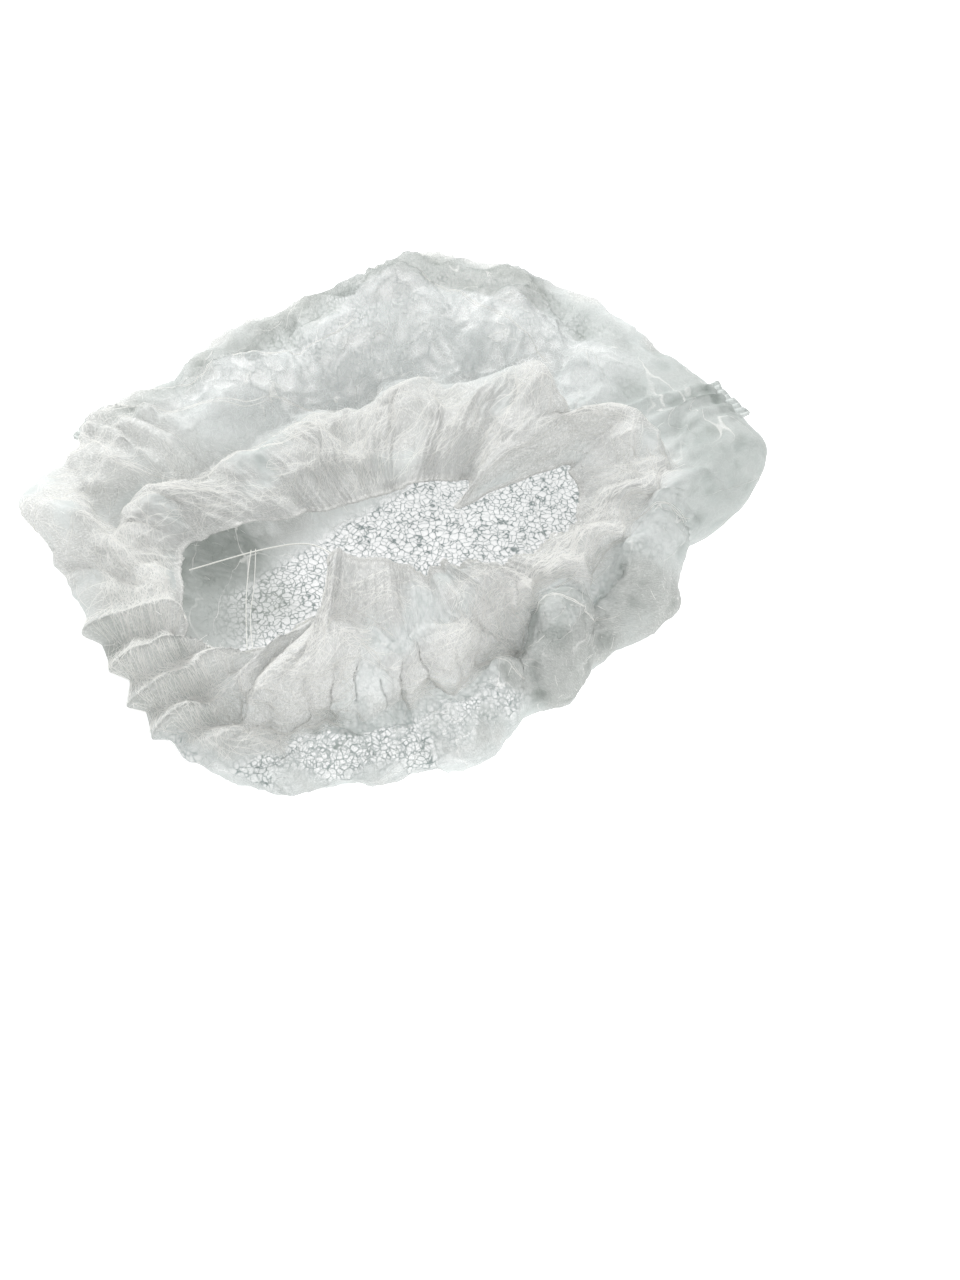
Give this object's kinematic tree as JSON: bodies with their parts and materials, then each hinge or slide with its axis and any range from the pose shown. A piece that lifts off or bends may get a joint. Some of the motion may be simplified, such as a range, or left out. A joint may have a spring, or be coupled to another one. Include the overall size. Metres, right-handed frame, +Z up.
{
  "type": "bouffant cap",
  "caption": "Disposable hair cap of thin nonwoven cloth, opened and lying crown down, with a gathered elastic mouth and pleated, welded ends.",
  "frame": {"origin": "on the surface that the cap rests on, under the middle of its bounding box", "axes": "+Z up out of the open mouth, +X towards the right end weld, +Y towards the broad back of the cap"},
  "size_m": [0.2859, 0.2741, 0.0632],
  "materials": {
    "nonwoven": "thin white spunbond polypropylene cloth, matt and half see-through, with a fine pressed pattern",
    "elastic": "fine white elastic thread, matt",
    "weld": "layers of the same cloth pressed and welded to a stiff ribbed strip, satin"
  },
  "bodies": {
    "root": {"crown": "nonwoven", "back_hem": "nonwoven", "front_hem": "nonwoven", "back_elastic": "elastic", "front_elastic": "elastic", "left_weld": "weld", "right_weld": "weld"}
  },
  "joints": []
}
